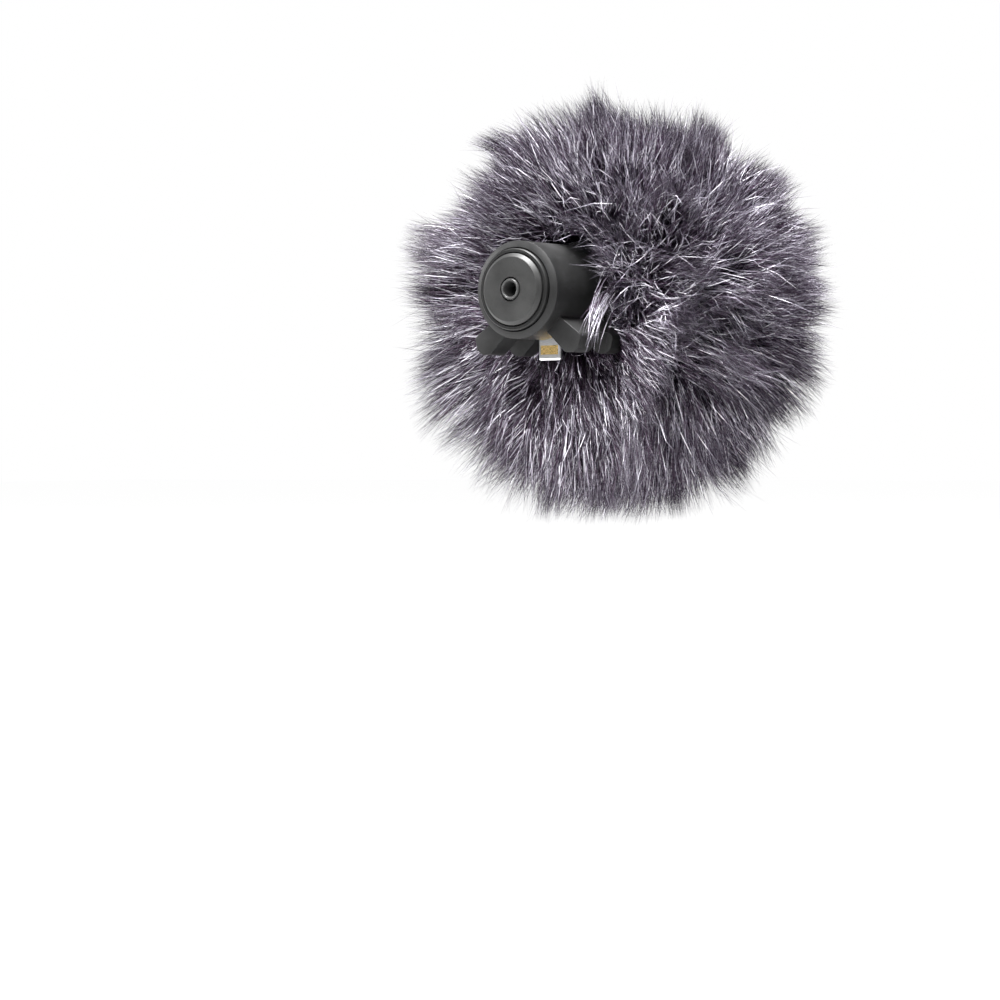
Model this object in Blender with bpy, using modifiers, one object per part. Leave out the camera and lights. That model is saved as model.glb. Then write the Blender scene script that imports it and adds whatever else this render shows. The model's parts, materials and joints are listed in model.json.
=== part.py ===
"""Furry windscreen on its compact phone microphone, one object for each separate piece.

Frame: metres, +Z up. The microphone's axis runs along +Y, from the headphone socket at the back to the
windscreen at the front. The origin is the middle of the plug's shoulder, the flat face that sits on the
phone's end, so the phone would hang below z = 0 with its thickness along Y.
"""

import math

import bmesh
import bpy
from mathutils import Matrix, Vector

MM = 0.001

# Driving dimensions
AXIS_Z = 10.4 * MM  # height of the microphone's axis above the phone's end
TUBE_R = 10.1 * MM  # outside radius of the body tube
TUBE_WALL = 0.9 * MM
BACK_Y = -17.2 * MM  # outer face of the rear cap
MIC_LENGTH = 73.5 * MM
PHONE_THICKNESS = 7.7 * MM
CLIP_R = 12.1 * MM  # outside radius of the clip's collar
PILE_R = 49.0 * MM  # mean outside radius of the fur
GAP = 0.3 * MM  # between a piece and its neighbour

# Worked out from them
FRONT_Y = BACK_Y + MIC_LENGTH
TUBE_IN_R = TUBE_R - TUBE_WALL
TUBE_BACK_Y = BACK_Y + 1.2 * MM
TUBE_FRONT_Y = FRONT_Y - 4.3 * MM
CHANNEL_HALF = PHONE_THICKNESS / 2 + 0.1 * MM
CLIP_BORE_R = TUBE_R + GAP
CLIP_BACK_Y = BACK_Y + 2.1 * MM
CLIP_FRONT_Y = CHANNEL_HALF + 5.0 * MM
LEG_BACK_Y = -CHANNEL_HALF - 6.3 * MM
LEG_BOTTOM_Z = -5.2 * MM
LEG_REACH = 16.4 * MM  # how far each leg stands out to the side
MOUTH_Y = CLIP_FRONT_Y + 0.6 * MM  # the windscreen's mouth, just in front of the clip
LINER_BORE_R = TUBE_R + GAP
BOARD_TOP_Z = AXIS_Z - 3.8 * MM
BOARD_THICK = 0.8 * MM
BOARD_BOTTOM_Z = BOARD_TOP_Z - BOARD_THICK

ROUND_STEPS = 40
SOFT_STEPS = 32
SMALL_STEPS = 20
TINY_STEPS = 10
HOLE_STEPS = 8
WELD = 0.00001
SHARP_ANGLE = math.radians(35)


# ---------------------------------------------------------------- scene set-up
def clear_scene():
    for item in list(bpy.data.objects):
        bpy.data.objects.remove(item)


def new_collection(name):
    group = bpy.data.collections.new(name)
    bpy.context.scene.collection.children.link(group)
    return group


def material(name, colour, roughness, metallic=0.0):
    made = bpy.data.materials.new(name)
    made.use_nodes = True
    shader = made.node_tree.nodes["Principled BSDF"]
    shader.inputs["Base Color"].default_value = (*colour, 1.0)
    shader.inputs["Roughness"].default_value = roughness
    shader.inputs["Metallic"].default_value = metallic
    return made


clear_scene()
PARTS = new_collection("furry_windscreen")
CUTTERS = new_collection("cutters")

FUR = material("fur", (0.09, 0.08, 0.10), 0.9)
FOAM = material("foam", (0.03, 0.03, 0.03), 1.0)
BACKING = material("fur_backing", (0.03, 0.03, 0.035), 0.95)
ELASTIC = material("elastic", (0.02, 0.02, 0.02), 0.8)
KNIT = material("cuff_knit", (0.03, 0.03, 0.035), 0.9)
CLIP_RUBBER = material("clip_rubber", (0.05, 0.05, 0.05), 0.7)
ANODISED = material("anodised_metal", (0.06, 0.06, 0.06), 0.5, 0.4)
SOFT_RUBBER = material("soft_rubber", (0.02, 0.02, 0.02), 0.8)
MOULDED = material("moulded_plastic", (0.04, 0.04, 0.04), 0.5)
STEEL = material("steel", (0.6, 0.6, 0.6), 0.3, 1.0)
GOLD = material("gold_contact", (0.85, 0.62, 0.25), 0.3, 1.0)
BOARD = material("board", (0.02, 0.12, 0.05), 0.6)
CHIP = material("chip", (0.03, 0.03, 0.03), 0.5)
WIRE = material("wire", (0.5, 0.04, 0.03), 0.6)


# ---------------------------------------------------------------- modelling helpers
def add_object(name, data, group, surface=None, parent=None):
    made = bpy.data.objects.new(name, data)
    group.objects.link(made)
    if surface is not None:
        data.materials.append(surface)
    made.parent = parent
    return made


def axis_frame(name):
    """An empty whose local Z is the microphone's axis, so a turned profile's height is the piece's Y."""
    empty = bpy.data.objects.new(name, None)
    PARTS.objects.link(empty)
    empty.location = (0, 0, AXIS_Z)
    empty.rotation_euler = (-math.pi / 2, 0, 0)
    return empty


def smooth(mesh):
    mesh.shade_smooth()
    mesh.set_sharp_from_angle(angle=SHARP_ANGLE)


def turned(name, profile, surface, steps=ROUND_STEPS, closed=True, group=None, parent=None):
    """A profile of (radius, Y) points, outer side from the front to the back, turned about the axis."""
    mesh = bpy.data.meshes.new(name)
    points = [(radius, 0, along) for radius, along in profile]
    last = len(points) - 1
    edges = [(i, i + 1) for i in range(last)]
    if closed:
        edges.append((last, 0))
    mesh.from_pydata(points, edges, [])
    made = add_object(name, mesh, group or PARTS, surface, parent or AXIS)
    screw = made.modifiers.new("turn", "SCREW")
    screw.steps = steps
    screw.render_steps = steps
    screw.use_merge_vertices = True
    screw.merge_threshold = WELD
    screw.use_smooth_shade = True
    return made


def box(name, low, high, surface, group=None, bevel=0.0):
    """A box between two corners in the part's own frame, with its edges rounded by bevel."""
    low, high = Vector(low), Vector(high)
    work = bmesh.new()
    bmesh.ops.create_cube(work, size=1.0)
    bmesh.ops.scale(work, vec=high - low, verts=work.verts)
    mesh = bpy.data.meshes.new(name)
    work.to_mesh(mesh)
    work.free()
    made = add_object(name, mesh, group or PARTS, surface)
    made.location = (low + high) / 2
    if bevel:
        rounding = made.modifiers.new("edges", "BEVEL")
        rounding.width = bevel
        rounding.segments = 2
    return made


def rod_into(work, start, end, radius, steps):
    """Adds a closed cylinder between two points to a bmesh."""
    start, end = Vector(start), Vector(end)
    along = end - start
    turn = along.to_track_quat("Z", "Y").to_matrix().to_4x4()
    place = Matrix.Translation((start + end) / 2) @ turn
    bmesh.ops.create_cone(
        work, cap_ends=True, segments=steps, radius1=radius, radius2=radius, depth=along.length, matrix=place
    )


def rods(name, spans, radius, surface, steps=TINY_STEPS, group=None):
    """Separate cylinders in one mesh, one for each (start, end) pair of points."""
    work = bmesh.new()
    for start, end in spans:
        rod_into(work, start, end, radius, steps)
    mesh = bpy.data.meshes.new(name)
    work.to_mesh(mesh)
    work.free()
    smooth(mesh)
    return add_object(name, mesh, group or PARTS, surface)


def stadium_into(work, width, length, height, place):
    """Adds an upright prism to a bmesh whose plan is a slot: round ends, length along local Y."""
    made = bmesh.ops.create_cone(
        work, cap_ends=True, segments=HOLE_STEPS, radius1=width / 2, radius2=width / 2, depth=height
    )
    stretch = (length - width) / 2
    for vert in made["verts"]:
        vert.co.y += math.copysign(stretch, vert.co.y)
    bmesh.ops.transform(work, matrix=place, verts=made["verts"])


def stadium(name, width, length, low_z, high_z, surface, group=None):
    """A slot-shaped prism round the Z axis, its length along X."""
    work = bmesh.new()
    turn = Matrix.Rotation(math.pi / 2, 4, "Z")
    place = Matrix.Translation((0, 0, (low_z + high_z) / 2)) @ turn
    stadium_into(work, width, length, high_z - low_z, place)
    mesh = bpy.data.meshes.new(name)
    work.to_mesh(mesh)
    work.free()
    smooth(mesh)
    return add_object(name, mesh, group or PARTS, surface)


def filleted(corners, steps=5):
    """Outline points from (x, z, radius) corners, each corner rounded by an arc of its radius."""
    outline = []
    count = len(corners)
    for i, (x, z, radius) in enumerate(corners):
        here = Vector((x, z))
        to_last = (Vector(corners[i - 1][:2]) - here).normalized()
        to_next = (Vector(corners[(i + 1) % count][:2]) - here).normalized()
        if radius == 0:
            outline.append(here)
            continue
        half = to_last.angle(to_next) / 2
        centre = here + (to_last + to_next).normalized() * radius / math.sin(half)
        reach = radius / math.tan(half)
        first = here + to_last * reach - centre
        turn = first.angle_signed(here + to_next * reach - centre)
        for step in range(steps + 1):
            outline.append(centre + Matrix.Rotation(-turn * step / steps, 2) @ first)
    return outline


def plate(name, outline, low_y, high_y):
    """A flat outline in X and Z, as thick as its two Y values say, as a closed mesh."""
    curve = bpy.data.curves.new(name + "_outline", "CURVE")
    curve.dimensions = "2D"
    curve.fill_mode = "BOTH"
    curve.extrude = (high_y - low_y) / 2
    spline = curve.splines.new("POLY")
    spline.points.add(len(outline) - 1)
    for point, (x, z) in zip(spline.points, outline):
        point.co = (x, z, 0, 1)
    spline.use_cyclic_u = True
    guide = add_object(name + "_guide", curve, CUTTERS)
    guide.location = (0, (low_y + high_y) / 2, 0)
    guide.rotation_euler = (math.pi / 2, 0, 0)
    bpy.context.view_layer.update()
    shape = guide.evaluated_get(bpy.context.evaluated_depsgraph_get())
    mesh = bpy.data.meshes.new_from_object(shape)
    mesh.name = name
    work = bmesh.new()
    work.from_mesh(mesh)
    bmesh.ops.remove_doubles(work, verts=work.verts, dist=WELD)
    work.to_mesh(mesh)
    work.free()
    made = add_object(name, mesh, CUTTERS)
    made.matrix_world = guide.matrix_world.copy()
    bpy.data.objects.remove(guide)
    return made


def boolean(target, tool, operation):
    """Cuts, joins or intersects target with tool, and hides the tool."""
    step = target.modifiers.new(operation.lower() + "_" + tool.name, "BOOLEAN")
    step.operation = operation
    step.object = tool
    tool.hide_render = True
    tool.display_type = "WIRE"


def cut(target, *tools):
    for tool in tools:
        boolean(target, tool, "DIFFERENCE")


def wire(name, path, radius, surface):
    """A round wire through the path's points."""
    curve = bpy.data.curves.new(name, "CURVE")
    curve.dimensions = "3D"
    curve.bevel_depth = radius
    curve.bevel_resolution = 1
    curve.use_fill_caps = True
    spline = curve.splines.new("POLY")
    spline.points.add(len(path) - 1)
    for point, place in zip(spline.points, path):
        point.co = (*place, 1)
    return add_object(name, curve, PARTS, surface)


def arc_profile(centre, radii, start, end, steps):
    """Points (radius, Y) on an ellipse arc about centre, angles in degrees from the radius axis."""
    points = []
    for i in range(steps + 1):
        angle = math.radians(start + (end - start) * i / steps)
        points.append((centre[0] + radii[0] * math.cos(angle), centre[1] + radii[1] * math.sin(angle)))
    return points


AXIS = axis_frame("microphone_axis")


# ---------------------------------------------------------------- microphone: housing
def body_tube():
    rim = 0.25 * MM
    profile = [
        (TUBE_IN_R, TUBE_FRONT_Y),
        (TUBE_R, TUBE_FRONT_Y),
        (TUBE_R, TUBE_BACK_Y + rim),
        (TUBE_R - rim, TUBE_BACK_Y),
        (TUBE_IN_R, TUBE_BACK_Y),
    ]
    tube = turned("body_tube", profile, ANODISED)
    cut(tube, sound_slots(), stadium("plug_window", 7.0 * MM, 12.2 * MM, -2 * MM, 4 * MM, None, CUTTERS))


def sound_slots():
    """Two rings of long slots round the front of the tube."""
    per_ring = 12
    slot_width = 1.8 * MM
    slot_length = 8.6 * MM
    work = bmesh.new()
    for ring, y in enumerate((32.5 * MM, 43.0 * MM)):
        for i in range(per_ring):
            angle = 2 * math.pi * (i + 0.5 * ring) / per_ring
            place = (
                Matrix.Translation((0, y, AXIS_Z))
                @ Matrix.Rotation(angle, 4, "Y")
                @ Matrix.Translation((0, 0, TUBE_R))
            )
            stadium_into(work, slot_width, slot_length, 4 * MM, place)
    mesh = bpy.data.meshes.new("sound_slots")
    work.to_mesh(mesh)
    work.free()
    return add_object("sound_slots", mesh, CUTTERS)


def front_grille():
    """Cup-shaped end cap with a perforated face."""
    rim = 1.3 * MM
    face = 1.7 * MM
    spigot_r = TUBE_IN_R - GAP
    spigot_y = TUBE_FRONT_Y - 1.8 * MM
    wall = 0.8 * MM
    profile = [(0, FRONT_Y)]
    profile += arc_profile((TUBE_R - rim, FRONT_Y - rim), (rim, rim), 90, 0, 3)
    profile += [
        (TUBE_R, TUBE_FRONT_Y + GAP),
        (spigot_r, TUBE_FRONT_Y + GAP),
        (spigot_r, spigot_y),
        (spigot_r - wall, spigot_y),
        (spigot_r - wall, FRONT_Y - face),
        (0, FRONT_Y - face),
    ]
    cap = turned("front_grille", profile, ANODISED, closed=False)
    cut(cap, grille_holes())


def grille_holes():
    """One hole in the middle and two rings of holes round it."""
    pitch = 2.7 * MM
    spans = []
    for ring in range(3):
        for i in range(max(1, 6 * ring)):
            angle = 2 * math.pi * i / max(1, 6 * ring)
            x = ring * pitch * math.cos(angle)
            z = AXIS_Z + ring * pitch * math.sin(angle)
            spans.append(((x, FRONT_Y - 3 * MM, z), (x, FRONT_Y + 1 * MM, z)))
    return rods("grille_holes", spans, 0.85 * MM, None, HOLE_STEPS, CUTTERS)


def rear_cap():
    """Disc with a chamfered rim and a hole for the headphone socket."""
    disc_r = 8.87 * MM
    chamfer = 0.9 * MM
    front = BACK_Y + 3.6 * MM
    profile = [
        (disc_r, front),
        (disc_r, BACK_Y + chamfer),
        (disc_r - chamfer, BACK_Y),
        (SOCKET_R + GAP, BACK_Y),
        (SOCKET_R + GAP, front),
    ]
    turned("rear_cap", profile, ANODISED)


def rear_seal():
    """Rubber ring that closes the gap behind the rear cap."""
    front = BACK_Y + 5.0 * MM
    back = BACK_Y + 3.9 * MM
    profile = [(8.9 * MM, front), (8.9 * MM, back), (6.6 * MM, back), (6.6 * MM, front)]
    turned("rear_seal", profile, SOFT_RUBBER, SOFT_STEPS)


# ---------------------------------------------------------------- microphone: headphone socket
SOCKET_R = 2.7 * MM
SOCKET_BORE_R = 1.85 * MM
JACK_BACK_Y = BACK_Y + 4.3 * MM
JACK_FRONT_Y = JACK_BACK_Y + 12.0 * MM
JACK_HALF = 3.2 * MM


def socket_ferrule():
    """Round collar of the socket, seen in the middle of the rear cap."""
    lip = 0.25 * MM
    front = BACK_Y + 4.0 * MM
    profile = [
        (SOCKET_R, front),
        (SOCKET_R, BACK_Y + lip),
        (SOCKET_R - lip, BACK_Y - lip),
        (SOCKET_BORE_R + lip, BACK_Y - lip),
        (SOCKET_BORE_R, BACK_Y + lip),
        (SOCKET_BORE_R, front),
    ]
    turned("socket_ferrule", profile, STEEL, SMALL_STEPS)


def socket_body():
    low = (-JACK_HALF, JACK_BACK_Y, AXIS_Z - JACK_HALF)
    high = (JACK_HALF, JACK_FRONT_Y, AXIS_Z + JACK_HALF)
    body = box("socket_body", low, high, MOULDED)
    bore_end = JACK_FRONT_Y - 1.2 * MM
    bore = rods(
        "socket_bore",
        [((0, JACK_BACK_Y - 2 * MM, AXIS_Z), (0, bore_end, AXIS_Z))],
        2.1 * MM,
        None,
        SMALL_STEPS,
        CUTTERS,
    )
    cut(body, bore)


def socket_springs():
    """Three leaf contacts beside the socket body, each with a solder leg to the board."""
    thick = 0.25 * MM
    half_width = 0.7 * MM
    for name, side, y in (("tip", 1, 6.5), ("ring", -1, 4.5), ("sleeve", 1, 1.8)):
        x = side * (JACK_HALF + GAP)
        middle = JACK_BACK_Y + y * MM
        outer = x + side * thick
        low = (min(x, outer), middle - half_width, BOARD_TOP_Z + GAP)
        high = (max(x, outer), middle + half_width, AXIS_Z + 1.6 * MM)
        box(f"socket_{name}_contact", low, high, GOLD)


# ---------------------------------------------------------------- microphone: sound capsule
def grille_mesh():
    """Woven metal sleeve behind the slots."""
    outer = TUBE_IN_R - GAP
    inner = outer - 0.35 * MM
    front = 49.6 * MM
    back = 27.0 * MM
    turned("grille_mesh", [(outer, front), (outer, back), (inner, back), (inner, front)], STEEL)


def front_mesh():
    """Woven metal disc behind the perforated face."""
    front = FRONT_Y - 2.0 * MM
    back = front - 0.4 * MM
    turned("front_mesh", [(0, front), (7.7 * MM, front), (7.7 * MM, back), (0, back)], STEEL, closed=False)


def capsule_foam():
    front = FRONT_Y - 2.8 * MM
    back = front - 3.6 * MM
    profile = [(0, front), (7.6 * MM, front), (7.6 * MM, back), (0, back)]
    turned("capsule_foam", profile, FOAM, SMALL_STEPS, closed=False)


CAPSULE_FRONT_Y = 49.4 * MM
CAPSULE_BACK_Y = 43.4 * MM
CAPSULE_R = 6.9 * MM


def capsule():
    edge = 0.5 * MM
    profile = [
        (0, CAPSULE_FRONT_Y),
        (CAPSULE_R - edge, CAPSULE_FRONT_Y),
        (CAPSULE_R, CAPSULE_FRONT_Y - edge),
        (CAPSULE_R, CAPSULE_BACK_Y),
        (0, CAPSULE_BACK_Y),
    ]
    turned("capsule", profile, STEEL, SOFT_STEPS, closed=False)


def capsule_boot():
    """Rubber ring that holds the capsule in the tube."""
    inner = CAPSULE_R + 0.25 * MM
    outer = 8.25 * MM
    front = CAPSULE_FRONT_Y - 0.8 * MM
    back = CAPSULE_BACK_Y + 0.6 * MM
    profile = [(outer, front), (outer, back), (inner, back), (inner, front)]
    turned("capsule_boot", profile, SOFT_RUBBER, SOFT_STEPS)


def capsule_leads():
    """Two wires from the back of the capsule down to the board."""
    for name, side in (("left", -1), ("right", 1)):
        x = side * 1.6 * MM
        path = [
            (x, CAPSULE_BACK_Y - GAP, AXIS_Z + 0.5 * MM),
            (x, CAPSULE_BACK_Y - 1.8 * MM, AXIS_Z + 0.2 * MM),
            (x * 1.4, CAPSULE_BACK_Y - 3.6 * MM, AXIS_Z - 1.4 * MM),
            (x * 1.4, CAPSULE_BACK_Y - 5.6 * MM, BOARD_TOP_Z + 0.7 * MM),
            (x * 1.4, CAPSULE_BACK_Y - 7.6 * MM, BOARD_TOP_Z + 0.7 * MM),
        ]
        wire(f"capsule_lead_{name}", path, 0.32 * MM, WIRE)


# ---------------------------------------------------------------- microphone: electronics
SCREW_YS = (11.0 * MM, 23.0 * MM)
SCREW_HOLE_R = 0.9 * MM


def circuit_board():
    low = (-6.8 * MM, JACK_BACK_Y + 1 * MM, BOARD_BOTTOM_Z)
    high = (6.8 * MM, 38.5 * MM, BOARD_TOP_Z)
    board = box("circuit_board", low, high, BOARD)
    spans = [((0, y, BOARD_BOTTOM_Z - 1 * MM), (0, y, BOARD_TOP_Z + 1 * MM)) for y in SCREW_YS]
    cut(board, rods("board_holes", spans, SCREW_HOLE_R, None, group=CUTTERS))


def on_board(name, x, y, size, surface):
    """A box-shaped component on the board's top face, centred at x, y."""
    half_x, half_y, height = size[0] / 2, size[1] / 2, size[2]
    base = BOARD_TOP_Z + 0.1 * MM
    low = (x - half_x, y - half_y, base)
    high = (x + half_x, y + half_y, base + height)
    return box(name, low, high, surface)


def board_components():
    on_board("audio_codec_chip", 0, 17.0 * MM, (5 * MM, 5 * MM, 0.9 * MM), CHIP)
    on_board("controller_chip", 0, 28.5 * MM, (4 * MM, 4 * MM, 0.8 * MM), CHIP)
    on_board("crystal", 4.4 * MM, 28.5 * MM, (2 * MM, 3.2 * MM, 0.9 * MM), STEEL)
    base = BOARD_TOP_Z + 0.1 * MM
    for side, x in (("left", -4.6 * MM), ("right", 4.6 * MM)):
        for end, y in (("back", 7.0 * MM), ("front", 34.0 * MM)):
            rods(f"capacitor_{side}_{end}", [((x, y, base), (x, y, base + 2.6 * MM))], 1.4 * MM, STEEL)


CHASSIS_R = TUBE_IN_R - 0.35 * MM


def chassis():
    """Trough under the board, with two screw posts and a window for the plug."""
    inner = CHASSIS_R - 1.2 * MM
    front = 26.4 * MM
    back = JACK_BACK_Y + 1 * MM
    top = BOARD_BOTTOM_Z - GAP
    wide = 2 * CHASSIS_R
    profile = [(CHASSIS_R, front), (CHASSIS_R, back), (inner, back), (inner, front)]
    trough = turned("chassis", profile, MOULDED, ROUND_STEPS - 2)
    foot = AXIS_Z - CHASSIS_R + 0.5 * MM
    posts = rods(
        "screw_posts",
        [((0, y, foot), (0, y, top + 1 * MM)) for y in SCREW_YS],
        1.7 * MM,
        None,
        group=CUTTERS,
    )
    boolean(trough, posts, "UNION")
    cut(
        trough,
        box("chassis_top", (-wide, back - wide, top), (wide, front + wide, AXIS_Z + wide), None, CUTTERS),
        box("chassis_window", (-6.6 * MM, -4 * MM, -2 * MM), (6.6 * MM, 4 * MM, top - 1.2 * MM), None, CUTTERS),
        rods(
            "post_holes",
            [((0, y, foot + 0.8 * MM), (0, y, top + 2 * MM)) for y in SCREW_YS],
            SCREW_HOLE_R,
            None,
            group=CUTTERS,
        ),
    )


def board_screws():
    """Two screws through the board into the chassis posts, head and shank in one body each."""
    head_r, shank_r = 1.4 * MM, 0.6 * MM
    head_low = BOARD_TOP_Z + 0.1 * MM
    head_high = head_low + 0.8 * MM
    tip = BOARD_BOTTOM_Z - 1.9 * MM
    profile = [
        (0, head_high),
        (head_r, head_high),
        (head_r, head_low),
        (shank_r, head_low),
        (shank_r, tip),
        (0, tip),
    ]
    for number, y in enumerate(SCREW_YS, start=1):
        screw = turned(f"board_screw_{number}", profile, STEEL, TINY_STEPS, closed=False)
        screw.parent = None
        screw.location = (0, y, 0)


# ---------------------------------------------------------------- microphone: phone plug
PLUG_BASE_TOP = 3.4 * MM
TAB_WIDTH = 6.65 * MM
TAB_THICK = 1.5 * MM
TAB_LENGTH = 6.7 * MM


def plug_base():
    """Slot-shaped block whose flat underside is the shoulder that meets the phone's end."""
    base = stadium("plug_base", 6.4 * MM, 11.6 * MM, 0, PLUG_BASE_TOP, MOULDED)
    half_x = TAB_WIDTH / 2 + 0.1 * MM
    half_y = TAB_THICK / 2 + 0.1 * MM
    cut(base, box("tab_slot", (-half_x, -half_y, -1 * MM), (half_x, half_y, 2.4 * MM), None, CUTTERS))


def plug_tab():
    """Steel tab that goes into the phone, with a shallow pocket for the contacts on each face."""
    low = (-TAB_WIDTH / 2, -TAB_THICK / 2, -TAB_LENGTH)
    high = (TAB_WIDTH / 2, TAB_THICK / 2, 2.2 * MM)
    tab = box("plug_tab", low, high, STEEL)
    rounding = tab.modifiers.new("edges", "BEVEL")
    rounding.width = 0.55 * MM
    rounding.segments = 3
    pocket = 0.2 * MM
    for side in (-1, 1):
        face = side * TAB_THICK / 2
        ends = sorted((face - side * pocket, face + side * 1 * MM))
        low = (-2.7 * MM, ends[0], -TAB_LENGTH + 1.4 * MM)
        high = (2.7 * MM, ends[1], -TAB_LENGTH + 3.9 * MM)
        cut(tab, box(f"contact_pocket_{side + 1}", low, high, None, CUTTERS))


def plug_contacts():
    """Insert in each pocket of the tab: a thin carrier with eight raised pads."""
    pads = 8
    pitch = 0.64 * MM
    middle_z = -TAB_LENGTH + 2.65 * MM
    for name, side in (("back", -1), ("front", 1)):
        floor = side * (TAB_THICK / 2 - 0.2 * MM)
        near, far = floor + side * 0.02 * MM, floor + side * 0.12 * MM
        top = floor + side * 0.2 * MM
        low = (-2.6 * MM, min(near, far), middle_z - 1.15 * MM)
        high = (2.6 * MM, max(near, far), middle_z + 1.15 * MM)
        carrier = box(f"plug_contacts_{name}", low, high, GOLD)
        work = bmesh.new()
        for i in range(pads):
            x = (i - (pads - 1) / 2) * pitch
            middle = Matrix.Translation((x, (near + top) / 2 + side * 0.01 * MM, middle_z))
            size = Matrix.Diagonal((0.4 * MM, abs(top - near) - 0.02 * MM, 1.9 * MM, 1))
            bmesh.ops.create_cube(work, size=1.0, matrix=middle @ size)
        mesh = bpy.data.meshes.new(f"pads_{name}")
        work.to_mesh(mesh)
        work.free()
        boolean(carrier, add_object(f"pads_{name}", mesh, CUTTERS), "UNION")


def plug_electronics():
    """Small board on the plug and the connector that joins it to the main board."""
    low = PLUG_BASE_TOP + 0.2 * MM
    box("plug_board", (-5 * MM, -2.6 * MM, low), (5 * MM, 2.6 * MM, low + 0.6 * MM), BOARD)
    low += 0.7 * MM
    box("board_connector", (-3 * MM, -1.4 * MM, low), (3 * MM, 1.4 * MM, BOARD_BOTTOM_Z - 0.1 * MM), MOULDED)


# ---------------------------------------------------------------- phone clip
def leg_outline(side):
    """One leg seen from the back, on the +X side for side 1 and the -X side for side -1."""
    corners = [
        (7.3 * MM, -1.2 * MM, 0),
        (11.4 * MM, LEG_BOTTOM_Z, 2.4 * MM),
        (15.0 * MM, LEG_BOTTOM_Z, 2.6 * MM),
        (LEG_REACH, -1.0 * MM, 1.4 * MM),
        (9.9 * MM, 3.6 * MM, 0),
        (5.0 * MM, 6.0 * MM, 0),
        (5.0 * MM, 1.0 * MM, 0),
    ]
    if side < 0:
        corners = [(-x, z, radius) for x, z, radius in reversed(corners)]
    return filleted(corners)


def phone_clip():
    """Collar on the tube with two pairs of legs that straddle the phone."""
    bevel = 1.6 * MM
    profile = [
        (0, CLIP_FRONT_Y),
        (CLIP_R - 0.5 * MM, CLIP_FRONT_Y),
        (CLIP_R, CLIP_FRONT_Y - 0.5 * MM),
        (CLIP_R, CLIP_BACK_Y + bevel * 0.55),
        (CLIP_R - bevel, CLIP_BACK_Y),
        (0, CLIP_BACK_Y),
    ]
    clip = turned("phone_clip", profile, CLIP_RUBBER, closed=False)
    for name, side in (("legs_left", -1), ("legs_right", 1)):
        boolean(clip, plate(name, leg_outline(side), LEG_BACK_Y, CLIP_FRONT_Y - 0.2 * MM), "UNION")
    bore = [((0, CLIP_BACK_Y - 5 * MM, AXIS_Z), (0, CLIP_FRONT_Y + 5 * MM, AXIS_Z))]
    reach = 40 * MM
    cut(
        clip,
        rods("clip_bore", bore, CLIP_BORE_R, None, ROUND_STEPS, CUTTERS),
        box("phone_channel", (-reach, -CHANNEL_HALF, -reach), (reach, CHANNEL_HALF, 0), None, CUTTERS),
        box(
            "plug_way",
            (-6.4 * MM, -CHANNEL_HALF, -reach),
            (6.4 * MM, CLIP_FRONT_Y + 5 * MM, AXIS_Z - 5 * MM),
            None,
            CUTTERS,
        ),
    )


# ---------------------------------------------------------------- windscreen
LINER_R = 19.0 * MM
LINER_CENTRE_Y = 38.0 * MM
LINER_HALF_LENGTH = 27.0 * MM
LINER_MOUTH_Y = MOUTH_Y + 7.3 * MM
BACKING_THICK = 0.6 * MM
ROUNDNESS = 2.6  # power of the oval that shapes the liner and the fur: 2 is an ellipse, more is boxier


def oval_profile(centre_y, half_length, radius, start_y, steps):
    """Points (radius, Y) of a rounded barrel from its front tip back to start_y."""
    points = []
    low = math.asin(max(-1.0, (start_y - centre_y) / half_length))
    for i in range(steps + 1):
        angle = math.pi / 2 + (low - math.pi / 2) * i / steps
        along, out = math.sin(angle), math.cos(angle)
        share = (abs(along) ** ROUNDNESS + abs(out) ** ROUNDNESS) ** (-1 / ROUNDNESS)
        points.append((abs(out) * share * radius, centre_y + along * share * half_length))
    points[0] = (0, centre_y + half_length)
    return points


def liner_outline(spread):
    """Outside of the foam liner from its tip to its mouth, moved outwards by spread."""
    outline = oval_profile(LINER_CENTRE_Y, LINER_HALF_LENGTH, LINER_R, LINER_MOUTH_Y, 9)
    outline = [point for point in outline if point[1] > LINER_MOUTH_Y]
    outline.append((outline[-1][0], LINER_MOUTH_Y))
    growth = 1 + spread / LINER_R
    return [(radius * growth, LINER_CENTRE_Y + (y - LINER_CENTRE_Y) * growth) for radius, y in outline]


def foam_liner():
    """Open-cell foam sleeve with a closed front, between the microphone and the fur's backing."""
    bore_end = FRONT_Y + 0.5 * MM
    profile = liner_outline(0)
    profile += [(LINER_BORE_R, LINER_MOUTH_Y), (LINER_BORE_R, bore_end), (0, bore_end)]
    turned("foam_liner", profile, FOAM, SOFT_STEPS, closed=False)


def fur_backing():
    """Woven sack that the fur is sewn to, pulled over the foam."""
    outer = liner_outline(1.3 * GAP + BACKING_THICK)
    inner = liner_outline(1.3 * GAP)
    turned("fur_backing", outer + list(reversed(inner)), BACKING, SOFT_STEPS, closed=False)


def cuff_band():
    """Knitted hem folded over the elastic: open towards the fur, closed at the mouth."""
    inner, outer = LINER_BORE_R, 13.2 * MM
    cloth = 0.5 * MM
    front = MOUTH_Y + 6.8 * MM
    profile = [
        (outer, front),
        (outer, MOUTH_Y + 0.5 * MM),
        (outer - 0.5 * MM, MOUTH_Y),
        (inner + 0.5 * MM, MOUTH_Y),
        (inner, MOUTH_Y + 0.5 * MM),
        (inner, front),
        (inner + cloth, front),
        (inner + cloth, MOUTH_Y + cloth),
        (outer - cloth, MOUTH_Y + cloth),
        (outer - cloth, front),
    ]
    turned("cuff_band", profile, KNIT, SOFT_STEPS)


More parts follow.
